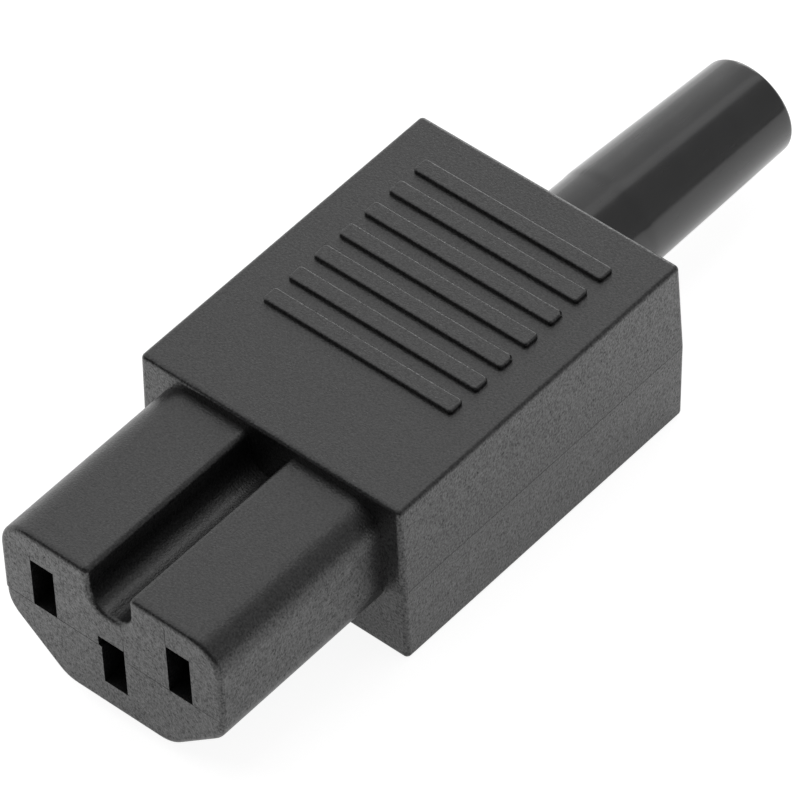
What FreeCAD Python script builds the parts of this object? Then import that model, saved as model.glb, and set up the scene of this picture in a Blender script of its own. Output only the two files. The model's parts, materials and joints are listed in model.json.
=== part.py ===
import FreeCAD, Part
import math
import os

# Rewirable appliance connector, keyed pattern for hot inlets: two moulded halves close on three
# receptacles, a cord clamp and a soft cord sleeve. All sizes in millimetres.
# X runs across the pins, Y from the nose to the cord, Z up from the resting face.
# The origin is in the resting plane, below the middle of the whole outline.

Vector = FreeCAD.Vector

# Pin pattern and slots in the nose face
PIN_PITCH = 14.0
EARTH_DROP = 4.0
SLOT_WIDTH = 2.4
SLOT_HEIGHT = 5.1
EARTH_SLOT_STEP = 0.3

# Nose
NOSE_WIDTH = 22.75
NOSE_HEIGHT = 14.75
NOSE_LENGTH = 18.45
NOSE_LIFT = 1.1
NOSE_TOP_RADIUS = 3.0
NOSE_CHAMFER_WIDTH = 5.8
NOSE_CHAMFER_HEIGHT = 5.0
NOSE_CHAMFER_RADIUS = 3.0
NOSE_EDGE_RADIUS = 0.5
NOSE_HALF_STEP = 0.12
NOSE_FACE_WALL = 2.2
NOSE_SIDE_WALL = 1.85
KEYWAY_WIDTH = 4.2
KEYWAY_DEPTH = 3.85
KEYWAY_FLOOR_RADIUS = 1.8
KEYWAY_LIP_RADIUS = 0.6

# Body halves
BODY_WIDTH = 27.05
BODY_LENGTH = 33.95
BODY_HEIGHT = 17.0
PARTING_HEIGHT = 7.9
UPPER_DRAFT = 1.1
LOWER_DRAFT = 1.55
BODY_EDGE_RADIUS = 0.45
SIDE_WALL = 2.0
ROOF = 1.8
FLOOR = 1.8
SHADOW_GAP_HEIGHT = 0.03
SHADOW_GAP_DEPTH = 0.05
TONGUE_WIDTH = 0.7
TONGUE_HEIGHT = 0.8
TONGUE_LENGTH = 26.0
TONGUE_CLEARANCE = 0.12

# Grip ribs on the upper face
RIB_COUNT = 7
RIB_PITCH = 3.0
RIB_LENGTH = 19.4
RIB_WIDTH = 1.6
RIB_HEIGHT = 0.4
RIB_CORNER_RADIUS = 0.35
RIB_EDGE_RADIUS = 0.2
RIB_REAR_MARGIN = 3.95

# Receptacles, folded from brass strip
STRIP = 0.8
BLADE_HEIGHT = 4.0
BLADE_CLEARANCE = 0.1
FORK_GAP = 2.4
FORK_PINCH = 1.7
FORK_MOUTH = 2.7
FORK_ROOT = 4.0
FORK_LEAF = 8.6
FORK_PINCH_SETBACK = 2.2
FORK_BEND_RADIUS = 1.0
FORK_INNER_BEND = 0.2
CHAMBER_WIDTH = 4.8
CHAMBER_CLEARANCE = 0.15
MOUTH_SETBACK = 0.9

# Terminals
TERMINAL_WIDTH = 6.0
TERMINAL_SETBACK = 6.0
TERMINAL_TAIL = 3.2
TERMINAL_START = 0.6
TERMINAL_CORNER = 0.6
COLLAR_RADIUS = 2.1
COLLAR_HEIGHT = 0.9
COLLAR_CLEARANCE = 0.3
RELIEF_DEPTH = 1.8
WASHER_SIDE = 5.6
WASHER_THICKNESS = 0.8
WASHER_CORNER = 0.5
BARRIER_CLEARANCE = 0.1
BARRIER_BOTTOM = 5.2
BARRIER_TAIL = 0.3
CORE_RIB = 1.2
CORE_WALL = 1.8
CORE_RIB_RISE = 0.4

# Screws and threaded inserts
SHANK_RADIUS = 1.45
THREAD_CLEARANCE = 0.05
SHANK_CLEARANCE = 0.2
HEAD_RADIUS = 2.75
HEAD_HEIGHT = 2.0
HEAD_DOME_RADIUS = 0.8
RECESS_WIDTH = 0.9
RECESS_SPAN = 3.2
RECESS_DEPTH = 1.1
TIP_CHAMFER = 0.3
INSERT_RADIUS = 2.05
INSERT_LENGTH = 4.5
INSERT_GROOVE = 0.2
INSERT_GROOVE_WIDTH = 0.6
INSERT_RUNOUT = 1.2
TERMINAL_SCREW_LENGTH = 3.2
HOUSING_SCREW_LENGTH = 9.0
CLAMP_SCREW_LENGTH = 7.0

# Housing screw bosses
HOUSING_SCREW_OFFSET = -1.5
UPPER_BOSS_RADIUS = 3.5
LOWER_BOSS_RADIUS = 4.3
COUNTERBORE_RADIUS = 3.05
COUNTERBORE_DEPTH = 2.6

# Cord clamp
CORD_RADIUS = 3.5
CLAMP_OFFSET = 8.0
CLAMP_LENGTH = 5.6
CLAMP_END_GAP = 1.125
CLAMP_HEAD_GAP = 0.15
CLAMP_BOSS_RADIUS = 3.2
CLAMP_BOSS_DROP = 1.35
CLAMP_LUG = 1.8
CLAMP_BRIDGE_WIDTH = 8.6
CLAMP_BRIDGE_DEPTH = 3.6
CLAMP_EDGE_RADIUS = 0.6
CLAMP_GROOVE = 0.4
CLAMP_GROOVE_WIDTH = 0.9
SADDLE_MOUTH = 3.9
SADDLE_CROWN = 2.0
SADDLE_CORNER = 1.2

# Cord sleeve
SLEEVE_LENGTH = 26.3
SLEEVE_ROOT_RADIUS = 5.04
SLEEVE_TIP_RADIUS = 4.6
SLEEVE_NECK = 4.6
SLEEVE_NECK_RADIUS = 4.99
SLEEVE_NECK_LENGTH = 5.8
SLEEVE_SHOULDER = 1.2
SLEEVE_BORE_RADIUS = 3.6
SLEEVE_MOUTH_RADIUS = 4.1
SLEEVE_RIM_RADIUS = 0.4
SLEEVE_FLANGE = 5.6
SLEEVE_FLANGE_THICKNESS = 2.0
SLEEVE_CORNER = 2.5
SLEEVE_FUNNEL = 6.0
SLEEVE_CLEARANCE = 0.15
PARTITION = 1.15
PARTITION_GAP = 0.2
PARTITION_HALF_WIDTH = 7.0
PARTITION_WINDOW = 4.2

# Reach of a tool past the face that it joins or cuts, and the distance within which edges are picked
OVERLAP = 0.4
OVERCUT = 1.0
PICK = 0.001

# Levels and stations that several pieces share
overall_length = NOSE_LENGTH + BODY_LENGTH + SLEEVE_LENGTH
nose_face = -overall_length / 2
body_front = nose_face + NOSE_LENGTH
body_rear = body_front + BODY_LENGTH
body_middle = (body_front + body_rear) / 2
housing_screw_y = body_middle + HOUSING_SCREW_OFFSET
clamp_y = body_middle + CLAMP_OFFSET
cavity_front = body_front + SIDE_WALL
cavity_rear = body_rear - SIDE_WALL
cavity_width = BODY_WIDTH - 2 * SIDE_WALL
cavity_length = BODY_LENGTH - 2 * SIDE_WALL
chamber_front = nose_face + NOSE_FACE_WALL
roof = BODY_HEIGHT - ROOF
nose_top = NOSE_LIFT + NOSE_HEIGHT
keyway_floor = nose_top - KEYWAY_DEPTH
live_line = PARTING_HEIGHT + SLOT_HEIGHT / 2
earth_line = live_line - EARTH_DROP
pin_x = PIN_PITCH / 2
screw_y = cavity_front + TERMINAL_SETBACK
clamp_seat = PARTING_HEIGHT - CLAMP_BOSS_DROP
lug_face = clamp_seat - CLAMP_LUG
clamp_end = cavity_width / 2 - CLAMP_END_GAP
clamp_screw_x = CLAMP_BRIDGE_WIDTH / 2 + HEAD_RADIUS + CLAMP_HEAD_GAP
insert_bore = SHANK_RADIUS + THREAD_CLEARANCE
shank_hole = SHANK_RADIUS + SHANK_CLEARANCE
partition_rear = cavity_rear - SLEEVE_FLANGE_THICKNESS - PARTITION_GAP


def upright(y):
    """Sketch plane facing along Y at station y."""
    return lambda u, v: Vector(u, y, v)


def level(z):
    """Sketch plane facing up at height z."""
    return lambda u, v: Vector(u, v, z)


def outline(corners, place):
    """Closed wire through corners (u, v, radius), each corner rounded by its radius."""
    turns = []
    count = len(corners)
    for i in range(count):
        u, v, radius = corners[i]
        before = corners[i - 1]
        after = corners[(i + 1) % count]
        here = Vector(u, v, 0)
        if radius == 0:
            turns.append((here, None, here))
            continue
        back = (Vector(before[0], before[1], 0) - here).normalize()
        ahead = (Vector(after[0], after[1], 0) - here).normalize()
        half = back.getAngle(ahead) / 2
        run = radius / math.tan(half)
        middle = (back + ahead).normalize()
        crown = here + middle * (radius / math.sin(half) - radius)
        turns.append((here + back * run, crown, here + ahead * run))
    edges = []
    for i in range(count):
        start = turns[i - 1][2]
        entry, crown, leave = turns[i]
        if (entry - start).Length > PICK:
            edges.append(Part.makeLine(place(start.x, start.y), place(entry.x, entry.y)))
        if crown is not None:
            arc = Part.Arc(place(entry.x, entry.y), place(crown.x, crown.y), place(leave.x, leave.y))
            edges.append(arc.toShape())
    return Part.Wire(edges)


def prism(corners, place, along):
    """Solid swept straight from a rounded outline."""
    return Part.Face(outline(corners, place)).extrude(along)


def box(x0, x1, y0, y1, z0, z1):
    return Part.makeBox(x1 - x0, y1 - y0, z1 - z0, Vector(x0, y0, z0))


def post(x, y, z0, z1, radius):
    return Part.makeCylinder(radius, z1 - z0, Vector(x, y, z0), Vector(0, 0, 1))


def cord_rod(y0, y1, radius):
    """Cylinder on the cord axis, which lies in the parting plane."""
    return Part.makeCylinder(radius, y1 - y0, Vector(0, y0, PARTING_HEIGHT), Vector(0, 1, 0))


def rectangle(half_u, v0, v1, radius):
    return [(-half_u, v0, radius), (half_u, v0, radius), (half_u, v1, radius), (-half_u, v1, radius)]


def cord_square(y0, y1, half):
    """Square bar with rounded corners on the cord axis, so that what sits in it can't turn."""
    corners = rectangle(half, PARTING_HEIGHT - half, PARTING_HEIGHT + half, SLEEVE_CORNER)
    return prism(corners, upright(y0), Vector(0, y1 - y0, 0))


def cord_trough(y0, y1, extra):
    """Trough with sloped sides that the clamp wedges the cord into, open at the parting."""
    crown = PARTING_HEIGHT + CORD_RADIUS + extra
    mouth = SADDLE_MOUTH + extra
    corners = [
        (-mouth, PARTING_HEIGHT - OVERCUT, 0),
        (mouth, PARTING_HEIGHT - OVERCUT, 0),
        (mouth, PARTING_HEIGHT, 0),
        (SADDLE_CROWN, crown, SADDLE_CORNER),
        (-SADDLE_CROWN, crown, SADDLE_CORNER),
        (-mouth, PARTING_HEIGHT, 0),
    ]
    return prism(corners, upright(y0), Vector(0, y1 - y0, 0))


def groove_stations():
    """Starts of the two cross grooves that bite into the cord's sheath."""
    return [clamp_y + side * CLAMP_LENGTH / 4 - CLAMP_GROOVE_WIDTH / 2 for side in (-1, 1)]


def drafted_block(width, length, z_wide, z_narrow, draft):
    """Block that narrows from z_wide to z_narrow on all four sides."""
    shift = abs(z_narrow - z_wide) * math.tan(math.radians(draft))
    near = body_middle - length / 2
    far = body_middle + length / 2
    wide = outline(rectangle(width / 2, near, far, 0), level(z_wide))
    narrow = outline(rectangle(width / 2 - shift, near + shift, far - shift, 0), level(z_narrow))
    return Part.makeLoft([wide, narrow], True, True)


def softened(block, z_plain, radius):
    """Round every edge of a block except those in the plane z_plain."""
    edges = [e for e in block.Edges if max(abs(v.Z - z_plain) for v in e.Vertexes) > PICK]
    return block.makeFillet(radius, edges)


def turned(corners):
    """Solid of revolution about the cord axis from an outline of (station, radius, rounding)."""
    section = Part.Face(outline(corners, lambda y, r: Vector(0, y, PARTING_HEIGHT + r)))
    return section.revolve(Vector(0, 0, PARTING_HEIGHT), Vector(0, 1, 0), 360).Solids[0]


def one_solid(shape):
    return shape.removeSplitter().Solids[0]


def nose_block(half):
    """Full-height nose with keyway and cut lower corners, its front edges rounded."""
    key = KEYWAY_WIDTH / 2
    shoulder = NOSE_LIFT + NOSE_CHAMFER_HEIGHT
    foot = half - NOSE_CHAMFER_WIDTH
    right = [
        (key, keyway_floor, KEYWAY_FLOOR_RADIUS),
        (key, nose_top, KEYWAY_LIP_RADIUS),
        (half, nose_top, NOSE_TOP_RADIUS),
        (half, shoulder, NOSE_CHAMFER_RADIUS),
        (foot, NOSE_LIFT, NOSE_CHAMFER_RADIUS),
    ]
    left = [(-u, v, radius) for u, v, radius in reversed(right)]
    run = NOSE_LENGTH + SIDE_WALL / 2
    block = prism(right + left, upright(nose_face), Vector(0, run, 0))
    front = [e for e in block.Edges if max(abs(v.Y - nose_face) for v in e.Vertexes) < PICK]
    return block.makeFillet(NOSE_EDGE_RADIUS, front)


def above_parting():
    reach = overall_length
    return box(-BODY_WIDTH, BODY_WIDTH, -reach, reach, PARTING_HEIGHT, PARTING_HEIGHT + 2 * BODY_HEIGHT)


def below_parting():
    reach = overall_length
    return box(-BODY_WIDTH, BODY_WIDTH, -reach, reach, PARTING_HEIGHT - 2 * BODY_HEIGHT, PARTING_HEIGHT)


def grip_rib(y):
    plan = rectangle(RIB_LENGTH / 2, y - RIB_WIDTH / 2, y + RIB_WIDTH / 2, RIB_CORNER_RADIUS)
    rib = prism(plan, level(BODY_HEIGHT - OVERLAP), Vector(0, 0, OVERLAP + RIB_HEIGHT))
    crest = BODY_HEIGHT + RIB_HEIGHT
    edges = [e for e in rib.Edges if min(v.Z for v in e.Vertexes) > crest - PICK]
    return rib.makeFillet(RIB_EDGE_RADIUS, edges)


def shadow_gap():
    """Fine relief round the outside of the parting line."""
    low = PARTING_HEIGHT
    high = PARTING_HEIGHT + SHADOW_GAP_HEIGHT
    reach = BODY_WIDTH
    frame = box(-reach, reach, nose_face - OVERCUT, body_rear + OVERCUT, low, high)
    half = BODY_WIDTH / 2 - SHADOW_GAP_DEPTH
    body = box(-half, half, body_front + SHADOW_GAP_DEPTH, body_rear - SHADOW_GAP_DEPTH, low, high)
    half = NOSE_WIDTH / 2 - SHADOW_GAP_DEPTH
    nose = box(-half, half, nose_face + SHADOW_GAP_DEPTH, body_middle, low, high)
    return frame.cut(body).cut(nose)


def side_tongue(side, clearance):
    middle = side * (BODY_WIDTH / 2 - SIDE_WALL / 2 - SHADOW_GAP_DEPTH / 2)
    half = TONGUE_WIDTH / 2 + clearance
    run = TONGUE_LENGTH / 2 + clearance
    near = body_middle - run
    top = PARTING_HEIGHT + TONGUE_HEIGHT + clearance
    return box(middle - half, middle + half, near, near + 2 * run, PARTING_HEIGHT - OVERLAP, top)


def web_level(line):
    """Underside of the receptacle strip over a pin line."""
    return line + BLADE_HEIGHT / 2 + BLADE_CLEARANCE


def chamber(x, line):
    """Room for one receptacle, from the nose face wall into the body, open at the parting."""
    top = web_level(line) + STRIP + CHAMBER_CLEARANCE
    low = min(PARTING_HEIGHT, line - SLOT_HEIGHT / 2 - BLADE_CLEARANCE)
    half = CHAMBER_WIDTH / 2
    return box(x - half, x + half, chamber_front, cavity_front + OVERLAP, low, top)


def slot(x, line, extra):
    half = SLOT_WIDTH / 2
    low = line - SLOT_HEIGHT / 2
    start = nose_face - OVERCUT
    return box(x - half - extra, x + half, start, chamber_front + OVERLAP, low, low + SLOT_HEIGHT)


def terminal_pad(x0, x1, line):
    """Ledge hanging from the roof that a terminal plate lies against."""
    face = web_level(line) + STRIP
    tail = screw_y + TERMINAL_TAIL + BARRIER_TAIL
    return box(x0, x1, cavity_front - OVERLAP, tail, face, roof + OVERLAP)


def relief(x, line):
    face = web_level(line) + STRIP
    return post(x, screw_y, face - OVERLAP, face + RELIEF_DEPTH, COLLAR_RADIUS + COLLAR_CLEARANCE)


def insert_hole(x, y, face):
    """Blind hole for a threaded insert, with run-out for the screw tip."""
    seat = face + INSERT_LENGTH
    wide = post(x, y, face - OVERLAP, seat, INSERT_RADIUS + THREAD_CLEARANCE)
    return wide.fuse(post(x, y, seat - OVERLAP, seat + INSERT_RUNOUT, shank_hole))


def partition(z0, z1):
    """Wall that keeps the sleeve's flange against the rear wall."""
    half = PARTITION_HALF_WIDTH
    return box(-half, half, partition_rear - PARTITION, partition_rear, z0, z1)


def cord_way():
    """Window in the partition, seat of the sleeve's flange and window in the rear wall."""
    window = cord_square(partition_rear - PARTITION - OVERLAP, partition_rear + OVERLAP, PARTITION_WINDOW)
    seat = cord_square(partition_rear, cavity_rear, SLEEVE_FLANGE + SLEEVE_CLEARANCE)
    neck = cord_square(cavity_rear - OVERLAP, body_rear + OVERCUT, SLEEVE_NECK + SLEEVE_CLEARANCE)
    return [window, seat, neck]


def upper_shell():
    """Upper half: grip ribs, keyway, live slots, terminal ledges, clamp saddle and bosses."""
    block = drafted_block(BODY_WIDTH, BODY_LENGTH, PARTING_HEIGHT, BODY_HEIGHT, UPPER_DRAFT)
    block = softened(block, PARTING_HEIGHT, BODY_EDGE_RADIUS)
    shell = block.fuse(nose_block(NOSE_WIDTH / 2).common(above_parting()))
    cavity = drafted_block(cavity_width, cavity_length, PARTING_HEIGHT, roof, UPPER_DRAFT)
    shell = shell.cut(cavity)

    # Ledges and barriers round the terminals
    barrier = (pin_x - TERMINAL_WIDTH) / 2 - BARRIER_CLEARANCE
    tail = screw_y + TERMINAL_TAIL + BARRIER_TAIL
    wall_in = cavity_width / 2 + OVERLAP
    added = [terminal_pad(-pin_x / 2, pin_x / 2, earth_line)]
    for side in (-1, 1):
        ends = sorted((side * pin_x / 2, side * wall_in))
        added.append(terminal_pad(ends[0], ends[1], live_line))
        middle = side * pin_x / 2
        start = cavity_front + BARRIER_CLEARANCE
        added.append(box(middle - barrier, middle + barrier, start, tail, BARRIER_BOTTOM, roof + OVERLAP))

    # Screw bosses, clamp saddle and sleeve partition
    added.append(post(0, housing_screw_y, PARTING_HEIGHT, roof + OVERLAP, UPPER_BOSS_RADIUS))
    y0 = clamp_y - CLAMP_LENGTH / 2
    y1 = clamp_y + CLAMP_LENGTH / 2
    saddle = box(-clamp_screw_x, clamp_screw_x, y0, y1, PARTING_HEIGHT, roof + OVERLAP)
    added.append(saddle)
    for side in (-1, 1):
        added.append(post(side * clamp_screw_x, clamp_y, clamp_seat, roof + OVERLAP, CLAMP_BOSS_RADIUS))
    added.append(partition(PARTING_HEIGHT, roof + OVERLAP))
    shell = shell.fuse(added)

    # Holes and channels
    cuts = cord_way()
    cuts.append(cord_trough(y0 - OVERLAP, y1 + OVERLAP, 0))
    for station in groove_stations():
        cuts.append(cord_trough(station, station + CLAMP_GROOVE_WIDTH, CLAMP_GROOVE))
    cuts.append(insert_hole(0, housing_screw_y, PARTING_HEIGHT))
    for side in (-1, 1):
        cuts.append(chamber(side * pin_x, live_line))
        cuts.append(slot(side * pin_x, live_line, 0))
        cuts.append(relief(side * pin_x, live_line))
        cuts.append(insert_hole(side * clamp_screw_x, clamp_y, clamp_seat))
        cuts.append(side_tongue(side, TONGUE_CLEARANCE))
    cuts.append(chamber(0, earth_line))
    cuts.append(slot(0, earth_line, EARTH_SLOT_STEP))
    cuts.append(relief(0, earth_line))
    cuts.append(shadow_gap())
    for cut in cuts:
        shell = shell.cut(cut)

    ribs = []
    last = body_rear - RIB_REAR_MARGIN - RIB_WIDTH / 2
    for i in range(RIB_COUNT):
        ribs.append(grip_rib(last - i * RIB_PITCH))
    return one_solid(shell.fuse(ribs))


def nose_core(side):
    """Hollow under a live chamber that keeps the lower nose walls even."""
    outer = NOSE_WIDTH / 2 - NOSE_SIDE_WALL
    inner = CHAMBER_WIDTH / 2 + CORE_WALL
    slope = NOSE_CHAMFER_HEIGHT / NOSE_CHAMFER_WIDTH
    rise = CORE_WALL * math.hypot(1, slope)
    foot = NOSE_WIDTH / 2 - NOSE_CHAMFER_WIDTH
    low = NOSE_LIFT + CORE_WALL
    toe = foot + (low - NOSE_LIFT - rise) / slope
    shoulder = NOSE_LIFT + rise + (outer - foot) * slope
    high = PARTING_HEIGHT + OVERCUT
    corners = [(inner, low), (toe, low), (outer, shoulder), (outer, high), (inner, high)]
    if toe <= inner:
        corners = corners[1:]
        corners[0] = (inner, NOSE_LIFT + rise + (inner - foot) * slope)
    flat = [(side * u, v, 0) for u, v in corners]
    return prism(flat, upright(chamber_front), Vector(0, body_front - chamber_front, 0))


def lower_shell():
    """Lower half: earth slot, cored nose, screw boss with counterbore and sleeve seat."""
    block = drafted_block(BODY_WIDTH, BODY_LENGTH, PARTING_HEIGHT, 0, LOWER_DRAFT)
    block = softened(block, PARTING_HEIGHT, BODY_EDGE_RADIUS)
    shell = block.fuse(nose_block(NOSE_WIDTH / 2 - NOSE_HALF_STEP).common(below_parting()))
    cavity = drafted_block(cavity_width, cavity_length, PARTING_HEIGHT, FLOOR, LOWER_DRAFT)
    shell = shell.cut(cavity)
    shell = shell.cut(nose_core(-1)).cut(nose_core(1))

    # Ribs that bear on the live receptacles, screw boss, sleeve partition and edge tongues
    added = []
    for side in (-1, 1):
        middle = side * pin_x
        half = CHAMBER_WIDTH / 2 - CHAMBER_CLEARANCE
        inner = CHAMBER_WIDTH / 2 + CORE_WALL - OVERLAP
        outer = NOSE_WIDTH / 2 - NOSE_SIDE_WALL + OVERLAP
        ends = sorted((side * inner, side * outer))
        for share in (1, 2):
            station = chamber_front + share * (body_front - chamber_front) / 3 - CORE_RIB / 2
            web = box(ends[0], ends[1], station, station + CORE_RIB, NOSE_LIFT + OVERLAP, PARTING_HEIGHT)
            added.append(web.common(nose_block(NOSE_WIDTH / 2 - NOSE_HALF_STEP)))
            low = PARTING_HEIGHT - OVERLAP
            top = PARTING_HEIGHT + CORE_RIB_RISE
            added.append(box(middle - half, middle + half, station, station + CORE_RIB, low, top))
        added.append(side_tongue(side, 0))
    added.append(post(0, housing_screw_y, FLOOR - OVERLAP, PARTING_HEIGHT, LOWER_BOSS_RADIUS))
    added.append(partition(FLOOR - OVERLAP, PARTING_HEIGHT))
    shell = shell.fuse(added)

    cuts = [chamber(0, earth_line), slot(0, earth_line, 0)]
    cuts.append(post(0, housing_screw_y, -OVERCUT, COUNTERBORE_DEPTH, COUNTERBORE_RADIUS))
    start = COUNTERBORE_DEPTH - OVERLAP
    cuts.append(post(0, housing_screw_y, start, PARTING_HEIGHT + OVERCUT, shank_hole))
    for cut in cuts + cord_way():
        shell = shell.cut(cut)
    return one_solid(shell)


def receptacle(x, line):
    """Folded fork that grips one pin, with a flat tail and an extruded screw collar."""
    under = web_level(line)
    top = under + STRIP
    low = line - BLADE_HEIGHT / 2
    gap = FORK_GAP / 2
    half = gap + STRIP
    mouth = chamber_front + MOUTH_SETBACK
    root = mouth + FORK_LEAF
    channel = [
        (x - half, low, 0),
        (x - half, top, FORK_BEND_RADIUS),
        (x + half, top, FORK_BEND_RADIUS),
        (x + half, low, 0),
        (x + gap, low, 0),
        (x + gap, under, FORK_INNER_BEND),
        (x - gap, under, FORK_INNER_BEND),
        (x - gap, low, 0),
    ]
    fork = prism(channel, upright(root), Vector(0, FORK_ROOT, 0))

    leaves = []
    pinch = mouth + FORK_PINCH_SETBACK
    for side in (-1, 1):
        plan = [
            (x + side * gap, root + OVERLAP, 0),
            (x + side * gap, root, FORK_BEND_RADIUS),
            (x + side * FORK_PINCH / 2, pinch, FORK_BEND_RADIUS),
            (x + side * FORK_MOUTH / 2, mouth, 0),
            (x + side * (FORK_MOUTH / 2 + STRIP), mouth, 0),
            (x + side * (FORK_PINCH / 2 + STRIP), pinch, FORK_BEND_RADIUS),
            (x + side * half, root, FORK_BEND_RADIUS),
            (x + side * half, root + OVERLAP, 0),
        ]
        leaves.append(prism(plan, level(low), Vector(0, 0, BLADE_HEIGHT)))

    # Tail: narrow through the front wall, wide where the wire is clamped
    neck = root + FORK_ROOT - OVERLAP
    wide = cavity_front + TERMINAL_START
    end = screw_y + TERMINAL_TAIL
    broad = TERMINAL_WIDTH / 2
    slim = half - FORK_BEND_RADIUS / 2
    plan = [
        (x - slim, neck, 0),
        (x + slim, neck, 0),
        (x + slim, wide, 0),
        (x + broad, wide, TERMINAL_CORNER),
        (x + broad, end, TERMINAL_CORNER),
        (x - broad, end, TERMINAL_CORNER),
        (x - broad, wide, TERMINAL_CORNER),
        (x - slim, wide, 0),
    ]
    tail = prism(plan, level(under), Vector(0, 0, STRIP))
    collar = post(x, screw_y, top - STRIP / 2, top + COLLAR_HEIGHT, COLLAR_RADIUS)
    whole = fork.fuse(leaves + [tail, collar])
    bore = post(x, screw_y, under - OVERCUT, top + COLLAR_HEIGHT + OVERCUT, insert_bore)
    return one_solid(whole.cut(bore))


def washer(x, line):
    """Square wire-clamping washer under a terminal screw head."""
    top = web_level(line)
    half = WASHER_SIDE / 2
    square = rectangle(half, screw_y - half, screw_y + half, WASHER_CORNER)
    corners = [(x + u, v, radius) for u, v, radius in square]
    low = top - WASHER_THICKNESS
    plate = prism(corners, level(low), Vector(0, 0, WASHER_THICKNESS))
    return one_solid(plate.cut(post(x, screw_y, low - OVERCUT, top + OVERCUT, shank_hole)))


def screw(x, y, seat, length):
    """Pan-head machine screw driven upward, head below the seat, cross recess in the head."""
    crown = seat - HEAD_HEIGHT
    head = post(x, y, crown, seat, HEAD_RADIUS)
    rim = [e for e in head.Edges if max(abs(v.Z - crown) for v in e.Vertexes) < PICK]
    head = head.makeFillet(HEAD_DOME_RADIUS, rim)
    shank = post(x, y, seat - OVERLAP, seat + length, SHANK_RADIUS)
    tip = [e for e in shank.Edges if min(v.Z for v in e.Vertexes) > seat + length - PICK]
    shank = shank.makeChamfer(TIP_CHAMFER, tip)
    half = RECESS_WIDTH / 2
    span = RECESS_SPAN / 2
    deep = crown + RECESS_DEPTH
    recess = box(x - span, x + span, y - half, y + half, crown - OVERCUT, deep)
    recess = recess.fuse(box(x - half, x + half, y - span, y + span, crown - OVERCUT, deep))
    return one_solid(head.fuse(shank).cut(recess))


def threaded_insert(x, y, face):
    """Brass insert pressed into a boss, its barrel grooved to hold in the plastic."""
    barrel = post(x, y, face, face + INSERT_LENGTH, INSERT_RADIUS)
    for share in (1, 3):
        low = face + share * INSERT_LENGTH / 4 - INSERT_GROOVE_WIDTH / 2
        high = low + INSERT_GROOVE_WIDTH
        ring = post(x, y, low, high, INSERT_RADIUS + OVERCUT)
        core = post(x, y, low - OVERCUT, high + OVERCUT, INSERT_RADIUS - INSERT_GROOVE)
        barrel = barrel.cut(ring.cut(core))
    bore = post(x, y, face - OVERCUT, face + INSERT_LENGTH + OVERCUT, insert_bore)
    return one_solid(barrel.cut(bore))


def cord_clamp():
    """Bridge that presses the cord into the saddle of the upper half."""
    bridge = CLAMP_BRIDGE_WIDTH / 2
    crown = clamp_seat - CLAMP_BRIDGE_DEPTH
    corners = [
        (-clamp_end, clamp_seat, CLAMP_EDGE_RADIUS),
        (-clamp_end, lug_face, CLAMP_EDGE_RADIUS),
        (-bridge, lug_face, 0),
        (-bridge, crown, CLAMP_EDGE_RADIUS),
        (bridge, crown, CLAMP_EDGE_RADIUS),
        (bridge, lug_face, 0),
        (clamp_end, lug_face, CLAMP_EDGE_RADIUS),
        (clamp_end, clamp_seat, CLAMP_EDGE_RADIUS),
    ]
    y0 = clamp_y - CLAMP_LENGTH / 2
    bar = prism(corners, upright(y0), Vector(0, CLAMP_LENGTH, 0))
    bar = bar.cut(cord_rod(y0 - OVERCUT, y0 + CLAMP_LENGTH + OVERCUT, CORD_RADIUS))
    for station in groove_stations():
        bar = bar.cut(cord_rod(station, station + CLAMP_GROOVE_WIDTH, CORD_RADIUS + CLAMP_GROOVE))
    low = lug_face - OVERCUT
    high = clamp_seat + OVERCUT
    for side in (-1, 1):
        bar = bar.cut(post(side * clamp_screw_x, clamp_y, low, high, shank_hole))
    return one_solid(bar)


def cord_sleeve():
    """Soft sleeve: round tube outside, square neck and flange trapped in the rear wall."""
    tip = body_rear + SLEEVE_LENGTH
    flange = cavity_rear - SLEEVE_FLANGE_THICKNESS
    start = body_rear + SLEEVE_CLEARANCE
    neck = body_rear + SLEEVE_NECK_LENGTH
    shoulder = neck + SLEEVE_SHOULDER
    funnel = flange + SLEEVE_FUNNEL
    outside = [
        (cavity_rear, 0, 0),
        (cavity_rear, SLEEVE_NECK, 0),
        (start, SLEEVE_NECK, 0),
        (start, SLEEVE_NECK_RADIUS, 0),
        (neck, SLEEVE_NECK_RADIUS, SLEEVE_RIM_RADIUS),
        (shoulder, SLEEVE_ROOT_RADIUS, SLEEVE_RIM_RADIUS),
        (tip, SLEEVE_TIP_RADIUS, SLEEVE_RIM_RADIUS),
        (tip, 0, 0),
    ]
    inside = [
        (flange - OVERCUT, 0, 0),
        (flange - OVERCUT, SLEEVE_MOUTH_RADIUS, 0),
        (flange, SLEEVE_MOUTH_RADIUS, 0),
        (funnel, SLEEVE_BORE_RADIUS, 0),
        (tip - SLEEVE_RIM_RADIUS, SLEEVE_BORE_RADIUS, 0),
        (tip, SLEEVE_BORE_RADIUS + SLEEVE_RIM_RADIUS, 0),
        (tip, 0, 0),
    ]
    anchor = cord_square(flange, cavity_rear, SLEEVE_FLANGE)
    anchor = anchor.fuse(cord_square(cavity_rear - OVERLAP, start, SLEEVE_NECK))
    whole = turned(outside).fuse(anchor).cut(turned(inside))
    return one_solid(whole)


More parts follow.
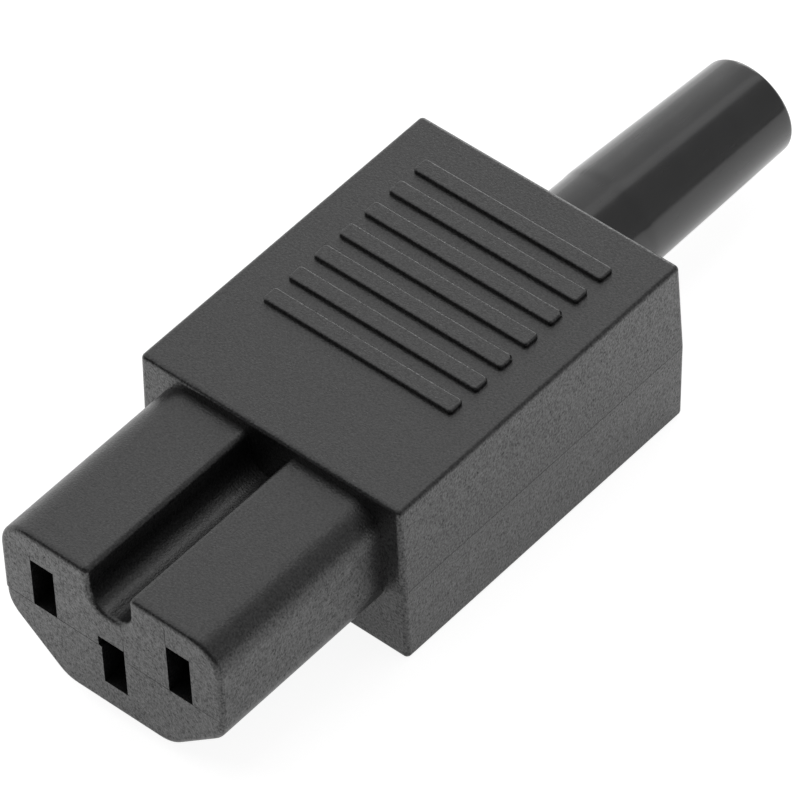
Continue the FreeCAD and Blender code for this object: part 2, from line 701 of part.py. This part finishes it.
pieces = {
    "upper_shell": upper_shell(),
    "lower_shell": lower_shell(),
    "cord_clamp": cord_clamp(),
    "cord_sleeve": cord_sleeve(),
    "housing_screw": screw(0, housing_screw_y, COUNTERBORE_DEPTH, HOUSING_SCREW_LENGTH),
    "housing_screw_insert": threaded_insert(0, housing_screw_y, PARTING_HEIGHT),
}
for name, x, line in (("line", -pin_x, live_line), ("neutral", pin_x, live_line), ("earth", 0, earth_line)):
    pieces[name + "_receptacle"] = receptacle(x, line)
    pieces[name + "_terminal_washer"] = washer(x, line)
    seat = web_level(line) - WASHER_THICKNESS
    pieces[name + "_terminal_screw"] = screw(x, screw_y, seat, TERMINAL_SCREW_LENGTH)
for name, side in (("left", -1), ("right", 1)):
    x = side * clamp_screw_x
    pieces["cord_clamp_screw_" + name] = screw(x, clamp_y, lug_face, CLAMP_SCREW_LENGTH)
    pieces["cord_clamp_insert_" + name] = threaded_insert(x, clamp_y, clamp_seat)

os.makedirs("parts", exist_ok=True)
for name, shape in pieces.items():
    shape.exportStep("parts/" + name + ".step")
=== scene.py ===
import json
import math

import bmesh
import bpy
from mathutils import Matrix, Vector


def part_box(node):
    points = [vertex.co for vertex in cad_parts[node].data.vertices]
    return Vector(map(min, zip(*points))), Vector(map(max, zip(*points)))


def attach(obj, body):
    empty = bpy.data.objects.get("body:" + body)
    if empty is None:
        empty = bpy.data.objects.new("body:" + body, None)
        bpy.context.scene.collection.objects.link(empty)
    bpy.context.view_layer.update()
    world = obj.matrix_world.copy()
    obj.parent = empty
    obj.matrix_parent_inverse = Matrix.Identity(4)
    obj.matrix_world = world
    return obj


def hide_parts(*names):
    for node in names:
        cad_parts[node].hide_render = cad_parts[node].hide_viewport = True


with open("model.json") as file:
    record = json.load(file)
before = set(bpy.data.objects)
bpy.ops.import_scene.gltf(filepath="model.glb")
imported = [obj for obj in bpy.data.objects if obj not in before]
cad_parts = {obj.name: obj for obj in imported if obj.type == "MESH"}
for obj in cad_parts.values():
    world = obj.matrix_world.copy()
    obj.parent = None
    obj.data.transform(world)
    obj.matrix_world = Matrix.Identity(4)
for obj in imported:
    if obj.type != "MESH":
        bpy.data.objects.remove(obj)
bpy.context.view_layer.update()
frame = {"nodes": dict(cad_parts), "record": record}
nodes = frame["nodes"]
scene = bpy.context.scene

# Camera: turned from looking along +Y, raised above the horizon, and the point in the middle of the picture
SENSOR_WIDTH = 36
CLIP_START = 0.01
CLIP_END = 20
VIEW_AZIMUTH = 43.281
VIEW_ELEVATION = 47.259
VIEW_ROLL = -3.3
VIEW_DISTANCE = 0.60584
VIEW_LENS = 357.36
VIEW_AIM = Vector((0.008504, -0.01478, 0.021592))

# Studio: one large soft panel on the left, reaching overhead and far back, a dim one behind on the right,
# a low strip behind on the left, and a dark surround. The floor has a shade and a glow for each kind of ray
FLOOR_SIZE = 6.0
FLOOR_DROP = 0.00005
FLOOR_SEEN = (0.34, 0.9)
FLOOR_MIRRORED = (1.0, 0.54)
FLOOR_BOUNCED = (0.8, 0.0)
PANEL_PLACE = (-0.643, 1.0, 0.704)
PANEL_AIM = (-0.023, 1.0, -0.016)
PANEL_SIZE = (3.4, 2.2)
PANEL_LIGHT = 21.8
FILL_PLACE = (0.75, 0.6, 0.9)
FILL_AIM = (0, 0, 0)
FILL_SIZE = (2.2, 2.2)
FILL_LIGHT = 6.0
STRIP_PLACE = (-0.95, 1.75, 0.48)
STRIP_AIM = (0, 0, 0)
STRIP_SIZE = (1.0, 0.6)
STRIP_LIGHT = 5.5
SURROUND = 0.1

# Housing: places of the nose face, the rear wall and the cord axis, in metres
shell_low, shell_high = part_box("upper_shell")
sleeve_low, sleeve_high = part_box("cord_sleeve")
NOSE_FACE = shell_low.y
REAR_WALL = shell_high.y
CORD_AXIS = (sleeve_low.z + sleeve_high.z) / 2

# Slots in the nose face, the outer two standing on the parting plane through the cord axis
PIN_X = 0.007
EARTH_DROP = 0.004
SLOT_HALF = 0.0012
SLOT_HEIGHT = 0.0051
SLOT_TOP = CORD_AXIS + SLOT_HEIGHT
EARTH_TOP = SLOT_TOP - EARTH_DROP

# Cord sleeve: half widths or radii of its sections, lengths along it, and how far the free end hangs.
# It ends 1.6 mm short of the CAD solid
SLEEVE_LENGTH = 0.0247
FLANGE_HALF = 0.0056
FLANGE_THICKNESS = 0.002
WALL = 0.002
NECK_HALF = 0.0046
NECK_CORNER = 0.0025
NECK_START = 0.00015
NECK_RADIUS = 0.00499
NECK_LENGTH = 0.0058
SHOULDER = 0.0012
ROOT_RADIUS = 0.00504
TIP_RADIUS = 0.0046
BORE_RADIUS = 0.0036
MOUTH_RADIUS = 0.0041
FUNNEL = 0.006
RIM = 0.0004
SLEEVE_SLOPE = 0.045
SLEEVE_BEND = 0.0015
RING_POINTS = 96
TUBE_STEPS = 36
NECK_STEPS = 8
CURVE_STEPS = 6
SHARP_ANGLE = 40


# Camera
def place_camera():
    azimuth = math.radians(VIEW_AZIMUTH)
    elevation = math.radians(VIEW_ELEVATION)
    back = Vector((math.sin(azimuth) * math.cos(elevation),
                   -math.cos(azimuth) * math.cos(elevation),
                   math.sin(elevation)))
    right = Vector((math.cos(azimuth), math.sin(azimuth), 0))
    turned = Matrix.Rotation(math.radians(VIEW_ROLL), 3, back)
    right = turned @ right
    up = back.cross(right)
    data = bpy.data.cameras.new("camera")
    data.sensor_width = SENSOR_WIDTH
    data.lens = VIEW_LENS
    data.clip_start = CLIP_START
    data.clip_end = CLIP_END
    camera = bpy.data.objects.new("camera", data)
    rotation = Matrix((right, up, back)).transposed().to_4x4()
    camera.matrix_world = Matrix.Translation(VIEW_AIM + back * VIEW_DISTANCE) @ rotation
    scene.collection.objects.link(camera)
    scene.camera = camera


# Studio
def mesh_object(name, make):
    mesh = bpy.data.meshes.new(name)
    bm = bmesh.new()
    make(bm)
    bmesh.ops.recalc_face_normals(bm, faces=bm.faces)
    bm.to_mesh(mesh)
    bm.free()
    piece = bpy.data.objects.new(name, mesh)
    scene.collection.objects.link(piece)
    return piece


def floor_material():
    """White to the eye, with the object's soft shadow kept, deeper in reflections; pale in bounced light.

    From below the floor is clear, so that the underside can be looked at.
    """
    material = bpy.data.materials.new("floor")
    material.use_nodes = True
    tree = material.node_tree
    tree.nodes.clear()
    out = tree.nodes.new("ShaderNodeOutputMaterial")
    path = tree.nodes.new("ShaderNodeLightPath")

    def lit_paper(shade, glow):
        diffuse = tree.nodes.new("ShaderNodeBsdfDiffuse")
        diffuse.inputs["Color"].default_value = (shade, shade, shade, 1)
        emission = tree.nodes.new("ShaderNodeEmission")
        emission.inputs["Strength"].default_value = glow
        both = tree.nodes.new("ShaderNodeAddShader")
        tree.links.new(diffuse.outputs[0], both.inputs[0])
        tree.links.new(emission.outputs[0], both.inputs[1])
        return both.outputs[0]

    def choose(switch, off, on):
        mix = tree.nodes.new("ShaderNodeMixShader")
        tree.links.new(switch, mix.inputs[0])
        tree.links.new(off, mix.inputs[1])
        tree.links.new(on, mix.inputs[2])
        return mix.outputs[0]

    bounced = choose(path.outputs["Is Glossy Ray"], lit_paper(*FLOOR_BOUNCED), lit_paper(*FLOOR_MIRRORED))
    above = choose(path.outputs["Is Camera Ray"], bounced, lit_paper(*FLOOR_SEEN))
    facing = tree.nodes.new("ShaderNodeNewGeometry")
    clear = tree.nodes.new("ShaderNodeBsdfTransparent")
    surface = choose(facing.outputs["Backfacing"], above, clear.outputs[0])
    tree.links.new(surface, out.inputs["Surface"])
    return material


def soft_lamp(name, place, aim, size, power):
    data = bpy.data.lights.new(name, "AREA")
    data.shape = "RECTANGLE"
    data.size, data.size_y = size
    data.energy = power
    lamp = bpy.data.objects.new(name, data)
    lamp.location = place
    lamp.rotation_mode = "QUATERNION"
    lamp.rotation_quaternion = (Vector(aim) - Vector(place)).to_track_quat("-Z", "Y")
    scene.collection.objects.link(lamp)


def set_stage():
    def sheet(bm):
        bmesh.ops.create_grid(bm, x_segments=2, y_segments=2, size=FLOOR_SIZE / 2)

    floor = mesh_object("floor", sheet)
    floor.location.z = -FLOOR_DROP
    floor.data.materials.append(floor_material())
    soft_lamp("panel", PANEL_PLACE, PANEL_AIM, PANEL_SIZE, PANEL_LIGHT)
    soft_lamp("fill", FILL_PLACE, FILL_AIM, FILL_SIZE, FILL_LIGHT)
    soft_lamp("strip", STRIP_PLACE, STRIP_AIM, STRIP_SIZE, STRIP_LIGHT)
    world = bpy.data.worlds.new("surround")
    world.use_nodes = True
    world.node_tree.nodes["Background"].inputs["Color"].default_value = (1, 1, 1, 1)
    world.node_tree.nodes["Background"].inputs["Strength"].default_value = SURROUND
    scene.world = world
    scene.view_settings.view_transform = "Standard"


# Materials: the part of a noise pattern's range that is used
PATTERN_LOW = 0.3
PATTERN_HIGH = 0.7
PATTERN_MIDDLE = 0.5


class Surface:
    """One principled material, and short ways to drive it by patterns in the object's own metres."""

    def __init__(self, name):
        self.material = bpy.data.materials.new(name)
        self.material.use_nodes = True
        self.tree = self.material.node_tree
        self.tree.nodes.clear()
        out = self.tree.nodes.new("ShaderNodeOutputMaterial")
        self.shader = self.tree.nodes.new("ShaderNodeBsdfPrincipled")
        self.tree.links.new(self.shader.outputs["BSDF"], out.inputs["Surface"])
        place = self.tree.nodes.new("ShaderNodeTexCoord")
        self.coords = place.outputs["Object"]
        self.normals = place.outputs["Normal"]

    def constant(self, socket, value):
        self.shader.inputs[socket].default_value = value

    def noise(self, scale, detail=2.0, roughness=0.5, stretch=(1, 1, 1)):
        mapping = self.tree.nodes.new("ShaderNodeMapping")
        mapping.inputs["Scale"].default_value = stretch
        self.tree.links.new(self.coords, mapping.inputs["Vector"])
        node = self.tree.nodes.new("ShaderNodeTexNoise")
        node.inputs["Scale"].default_value = scale
        node.inputs["Detail"].default_value = detail
        node.inputs["Roughness"].default_value = roughness
        self.tree.links.new(mapping.outputs["Vector"], node.inputs["Vector"])
        return node.outputs["Fac"]

    def colour(self, pattern, dark, light, low=PATTERN_LOW, high=PATTERN_HIGH):
        ramp = self.tree.nodes.new("ShaderNodeValToRGB")
        ramp.color_ramp.elements[0].position = low
        ramp.color_ramp.elements[0].color = (*dark, 1)
        ramp.color_ramp.elements[1].position = high
        ramp.color_ramp.elements[1].color = (*light, 1)
        self.tree.links.new(pattern, ramp.inputs["Fac"])
        self.tree.links.new(ramp.outputs["Color"], self.shader.inputs["Base Color"])

    def spread(self, pattern, socket, least, most):
        node = self.tree.nodes.new("ShaderNodeMapRange")
        node.inputs["From Min"].default_value = PATTERN_LOW
        node.inputs["From Max"].default_value = PATTERN_HIGH
        node.inputs["To Min"].default_value = least
        node.inputs["To Max"].default_value = most
        self.tree.links.new(pattern, node.inputs["Value"])
        self.tree.links.new(node.outputs["Result"], self.shader.inputs[socket])

    def maths(self, operation, first, second=0.0):
        node = self.tree.nodes.new("ShaderNodeMath")
        node.operation = operation
        self.tree.links.new(first, node.inputs[0])
        if isinstance(second, float):
            node.inputs[1].default_value = second
        else:
            self.tree.links.new(second, node.inputs[1])
        return node.outputs[0]

    def uneven(self, pattern, socket, middle, flat, upright):
        """Swings a socket about its middle, by one gain on level faces and by another on upright walls."""
        split = self.tree.nodes.new("ShaderNodeSeparateXYZ")
        self.tree.links.new(self.normals, split.inputs["Vector"])
        level = self.maths("ABSOLUTE", split.outputs["Z"])
        gain = self.tree.nodes.new("ShaderNodeMapRange")
        gain.inputs["To Min"].default_value = upright
        gain.inputs["To Max"].default_value = flat
        self.tree.links.new(level, gain.inputs["Value"])
        swing = self.maths("SUBTRACT", pattern, PATTERN_MIDDLE)
        scaled = self.maths("MULTIPLY", swing, gain.outputs["Result"])
        self.tree.links.new(self.maths("ADD", scaled, middle), self.shader.inputs[socket])

    def bump(self, pattern, strength, depth):
        node = self.tree.nodes.new("ShaderNodeBump")
        node.inputs["Strength"].default_value = strength
        node.inputs["Distance"].default_value = depth
        self.tree.links.new(pattern, node.inputs["Height"])
        last = self.shader.inputs["Normal"]
        if last.is_linked:
            self.tree.links.new(last.links[0].from_socket, node.inputs["Normal"])
        self.tree.links.new(node.outputs["Normal"], last)


# The mould's grain is coarser up and down its walls than across its flat faces
UPRIGHT_GRAIN = (1, 1, 0.75)


def shell_plastic():
    """Black plastic from a finely spark-eroded mould: satin, with a grain of a tenth of a millimetre."""
    s = Surface("shell_plastic")
    grain = s.noise(6000, 2.0, 0.6, UPRIGHT_GRAIN)
    s.constant("IOR", 1.62)
    s.colour(grain, (0.005, 0.005, 0.0052), (0.015, 0.015, 0.0155), 0.32, 0.68)
    s.uneven(s.noise(5400, 2.0, 0.65, UPRIGHT_GRAIN), "Specular IOR Level", 0.51, 0.6, 1.95)
    s.spread(s.noise(900, 3.0, 0.6), "Roughness", 0.28, 0.37)
    s.bump(s.noise(700, 2.0, 0.5), 0.10, 0.00004)
    s.bump(grain, 0.42, 0.00009)
    return s.material


def witness_flash_painted_shade():
    """The same plastic where it has squeezed into the mould's joints, thin and patchy; its darker colour
    and dull sheen are painted shade of the joint.
    """
    s = Surface("witness_flash_painted_shade")
    # Painted shade: the low, patchy specular and the darker colour stand in for the shadow in the joint
    s.spread(s.noise(300, 2.0, 0.6), "Specular IOR Level", 0.0, 0.7)
    s.colour(s.noise(2500, 3.0, 0.6), (0.004, 0.004, 0.0042), (0.012, 0.012, 0.0125))
    s.spread(s.noise(4000, 2.0), "Roughness", 0.6, 0.8)
    return s.material


def clamp_plastic():
    """Plain dark grey moulding with faint flow marks."""
    s = Surface("clamp_plastic")
    s.colour(s.noise(350, 4.0, 0.6, (1, 0.35, 1)), (0.075, 0.075, 0.08), (0.105, 0.105, 0.11))
    s.spread(s.noise(2600, 2.0), "Roughness", 0.42, 0.56)
    s.bump(s.noise(3200, 2.0), 0.15, 0.00003)
    return s.material


def sleeve_plastic():
    """Glossy soft black plastic, slightly uneven, with fine draw marks along its length."""
    s = Surface("sleeve_plastic")
    s.constant("Coat Weight", 0.25)
    s.constant("Coat Roughness", 0.12)
    s.colour(s.noise(500, 3.0, 0.5), (0.0115, 0.0115, 0.012), (0.0165, 0.0165, 0.017))
    s.spread(s.noise(1500, 3.0, 0.6, (1, 0.12, 1)), "Roughness", 0.16, 0.28)
    s.bump(s.noise(160, 1.5, 0.4, (1, 0.5, 1)), 0.05, 0.00025)
    s.bump(s.noise(2600, 2.0, 0.5, (1, 0.1, 1)), 0.03, 0.00003)
    return s.material


def contact_brass():
    """Stamped brass strip with rolling marks and a little tarnish."""
    s = Surface("contact_brass")
    s.constant("Metallic", 1.0)
    s.colour(s.noise(600, 5.0, 0.62), (0.52, 0.34, 0.12), (0.78, 0.58, 0.27))
    s.spread(s.noise(2400, 3.0, 0.6, (1, 0.08, 1)), "Roughness", 0.22, 0.42)
    s.bump(s.noise(3000, 2.0, 0.5, (1, 0.08, 1)), 0.08, 0.00002)
    return s.material


def screw_steel():
    """Zinc plated steel, faintly blue, with the plating's fine mottling."""
    s = Surface("screw_steel")
    s.constant("Metallic", 1.0)
    s.colour(s.noise(1100, 5.0, 0.65), (0.47, 0.48, 0.50), (0.66, 0.67, 0.69))
    s.spread(s.noise(3400, 3.0, 0.6), "Roughness", 0.24, 0.44)
    s.bump(s.noise(4200, 2.0), 0.10, 0.00002)
    return s.material


def dress_nodes(finishes):
    for part in frame["record"]["subparts"]:
        mesh = nodes[part["node"]].data
        mesh.materials.clear()
        mesh.materials.append(finishes[part["material_slot"]])


# Cord sleeve: the soft tube hangs a little where the CAD solid is straight
def section_radius(angle, half, corner):
    """Distance from the axis to a square with rounded corners.

    A corner as large as the half width makes a circle.
    """
    across = abs(math.cos(angle))
    along = abs(math.sin(angle))
    flat = half / max(across, along)
    inset = half - corner
    if min(across, along) * flat <= inset:
        return flat
    reach = inset * (across + along)
    return reach + math.sqrt(max(reach * reach - 2 * inset * inset + corner * corner, 0))


def sleeve_sections():
    """Stations from the flange to the tip outside, then back through the bore: (y, half width, corner)."""
    tip = REAR_WALL + SLEEVE_LENGTH
    flange = REAR_WALL - WALL - FLANGE_THICKNESS
    neck = REAR_WALL + NECK_LENGTH
    shoulder = neck + SHOULDER
    sections = [
        (flange, FLANGE_HALF, NECK_CORNER),
        (REAR_WALL - WALL, FLANGE_HALF, NECK_CORNER),
        (REAR_WALL - WALL, NECK_HALF, NECK_CORNER),
        (REAR_WALL + NECK_START, NECK_HALF, NECK_CORNER),
        (REAR_WALL + NECK_START, NECK_RADIUS, NECK_RADIUS),
    ]
    for i in range(1, NECK_STEPS + 1):
        y = REAR_WALL + NECK_START + (NECK_LENGTH - NECK_START) * i / NECK_STEPS
        sections.append((y, NECK_RADIUS, NECK_RADIUS))
    for i in range(1, CURVE_STEPS + 1):
        rise = (1 - math.cos(math.pi * i / CURVE_STEPS)) / 2
        radius = NECK_RADIUS + (ROOT_RADIUS - NECK_RADIUS) * rise
        sections.append((neck + SHOULDER * i / CURVE_STEPS, radius, radius))
    for i in range(1, TUBE_STEPS + 1):
        share = i / TUBE_STEPS
        radius = ROOT_RADIUS + (TIP_RADIUS - ROOT_RADIUS) * share
        sections.append((shoulder + (tip - RIM - shoulder) * share, radius, radius))
    for i in range(1, CURVE_STEPS + 1):
        angle = i / CURVE_STEPS * math.pi / 2
        radius = TIP_RADIUS - RIM + RIM * math.cos(angle)
        sections.append((tip - RIM + RIM * math.sin(angle), radius, radius))
    for i in range(CURVE_STEPS + 1):
        angle = i / CURVE_STEPS * math.pi / 2
        radius = BORE_RADIUS + RIM - RIM * math.sin(angle)
        sections.append((tip - RIM + RIM * math.cos(angle), radius, radius))
    funnel = flange + FUNNEL
    for i in range(1, TUBE_STEPS + 1):
        sections.append((tip - RIM + (funnel - tip + RIM) * i / TUBE_STEPS, BORE_RADIUS, BORE_RADIUS))
    sections.append((flange, MOUTH_RADIUS, MOUTH_RADIUS))
    return sections


def hang(y):
    """Drop of the sleeve's axis: it bends in the neck and then runs on straight."""
    past = max(y - REAR_WALL, 0)
    return SLEEVE_SLOPE * (past - SLEEVE_BEND * (1 - math.exp(-past / SLEEVE_BEND)))


def hanging_sleeve(finish):
    def tube(bm):
        rings = []
        for y, half, corner in sleeve_sections():
            ring = []
            for i in range(RING_POINTS):
                angle = 2 * math.pi * i / RING_POINTS
                radius = section_radius(angle, half, corner)
                height = CORD_AXIS - hang(y) + radius * math.sin(angle)
                ring.append(bm.verts.new((radius * math.cos(angle), y, height)))
            rings.append(ring)
        for near, far in zip(rings, rings[1:] + rings[:1]):
            for i in range(RING_POINTS):
                after = (i + 1) % RING_POINTS
                bm.faces.new((near[i], near[after], far[after], far[i]))

    piece = mesh_object("hanging_sleeve", tube)
    piece.data.shade_smooth()
    piece.data.set_sharp_from_angle(angle=math.radians(SHARP_ANGLE))
    piece.data.materials.append(finish)
    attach(piece, "root")
    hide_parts("cord_sleeve")


# Mould witness lines: hairline ridges left by the pins that form the slots, and along the parting line.
# Their darker, dull finish is painted shade of the joints
WITNESS_HALF = 0.00003
WITNESS_PROUD = 0.000012
WITNESS_TAPER = 0.9
LINE_SLOT_TRACE = 0.0005
NEUTRAL_SLOT_TRACE = 0.0021
EARTH_SLOT_TRACE = 0.0015
INNER_TRACE = 0.0042
OUTER_TRACE = 0.0026
BODY_LENGTH = 0.03395
BODY_EDGE = 0.0006


def witness_lines(finish):
    """Each line has a start, a run from there, and the direction in which its face looks."""
    front = Vector((0, -1, 0))
    lines = [
        (Vector((PIN_X - SLOT_HALF, NOSE_FACE, SLOT_TOP)), Vector((0, 0, NEUTRAL_SLOT_TRACE)), front),
        (Vector((-PIN_X - SLOT_HALF, NOSE_FACE, SLOT_TOP)), Vector((0, 0, LINE_SLOT_TRACE)), front),
        (Vector((SLOT_HALF, NOSE_FACE, EARTH_TOP)), Vector((0, 0, EARTH_SLOT_TRACE)), front),
    ]
    side_start = REAR_WALL - BODY_LENGTH + BODY_EDGE
    side_run = Vector((0, BODY_LENGTH - 2 * BODY_EDGE, 0))
    for side in (-1, 1):
        inner_foot = Vector((side * (PIN_X - SLOT_HALF), NOSE_FACE, CORD_AXIS))
        lines.append((inner_foot, Vector((-side * INNER_TRACE, 0, 0)), front))
        outer_foot = Vector((side * (PIN_X + SLOT_HALF), NOSE_FACE, CORD_AXIS))
        lines.append((outer_foot, Vector((side * OUTER_TRACE, 0, 0)), front))
        lines.append((Vector((side * shell_high.x, side_start, CORD_AXIS)), side_run, Vector((side, 0, 0))))

    def ridges(bm):
        for start, run, outward in lines:
            across = outward.cross(run).normalized() * WITNESS_HALF
            foot = [bm.verts.new(start + edge * across + along * run)
                    for edge in (-1, 1) for along in (0, 1)]
            crest = [bm.verts.new(start + along * run + outward * WITNESS_PROUD)
                     for along in (0, WITNESS_TAPER)]
            bm.faces.new((foot[0], foot[1], crest[1], crest[0]))
            bm.faces.new((foot[2], crest[0], crest[1], foot[3]))
            bm.faces.new((foot[0], crest[0], foot[2]))
            bm.faces.new((foot[1], foot[3], crest[1]))

    # The ridges carry painted shade: a dark, dull line where the joints fall into shadow
    piece = mesh_object("witness_ridges_painted_shade", ridges)
    piece.data.materials.append(finish)
    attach(piece, "root")


place_camera()
set_stage()
FINISHES = {
    "shell_plastic": shell_plastic(),
    "clamp_plastic": clamp_plastic(),
    "sleeve_plastic": sleeve_plastic(),
    "contact_brass": contact_brass(),
    "screw_steel": screw_steel(),
}
dress_nodes(FINISHES)
hanging_sleeve(FINISHES["sleeve_plastic"])
witness_lines(witness_flash_painted_shade())
